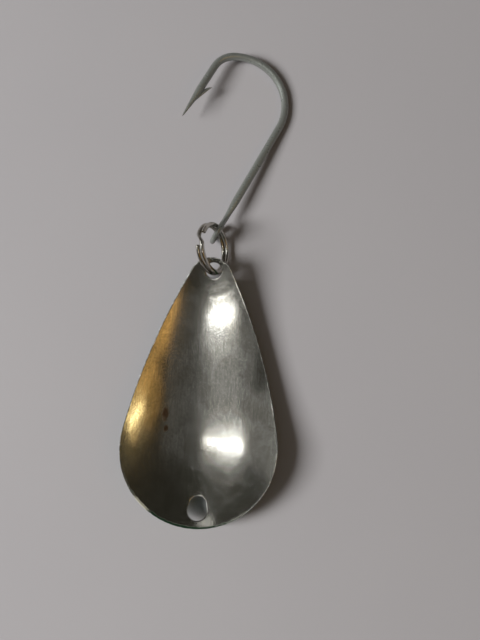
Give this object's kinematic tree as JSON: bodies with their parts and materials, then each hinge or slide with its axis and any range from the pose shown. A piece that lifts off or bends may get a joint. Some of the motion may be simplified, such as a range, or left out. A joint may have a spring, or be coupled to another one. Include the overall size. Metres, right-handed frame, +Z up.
{
  "type": "spoon lure",
  "caption": "Dished teardrop spoon blade with a hole for the line at its wide end, and a split ring at its narrow end on which a single barbed hook swings.",
  "frame": {"origin": "middle of the line hole, halfway through the sheet", "axes": "+Y along the blade from the line hole to the hook, +Z up out of the blade's hollow, +X to the right seen from above"},
  "size_m": [0.0301, 0.0971, 0.0098],
  "materials": {
    "blade_nickel": "worn nickel plate in the hollow, chipped green paint on the belly",
    "ring_steel": "bright stainless wire",
    "hook_tin": "dull tinned wire"
  },
  "bodies": {
    "blade": {"spoon_blade": "blade_nickel"},
    "ring": {"split_ring": "ring_steel"},
    "hook": {"hook": "hook_tin"}
  },
  "joints": [
    {"name": "ring_swing", "type": "hinge", "parent": "blade", "child": "ring", "pos_m": [-0.00015, 0.04645, 0.00185], "axis": [0, -0.3494, 0.937], "range_deg": [-85, 85]},
    {"name": "hook_swing", "type": "hinge", "parent": "ring", "child": "hook", "pos_m": [-0.00007, 0.05488, -0.00035], "axis": [0.8944, -0.4279, -0.1302], "range_deg": [-115, 115]}
  ]
}
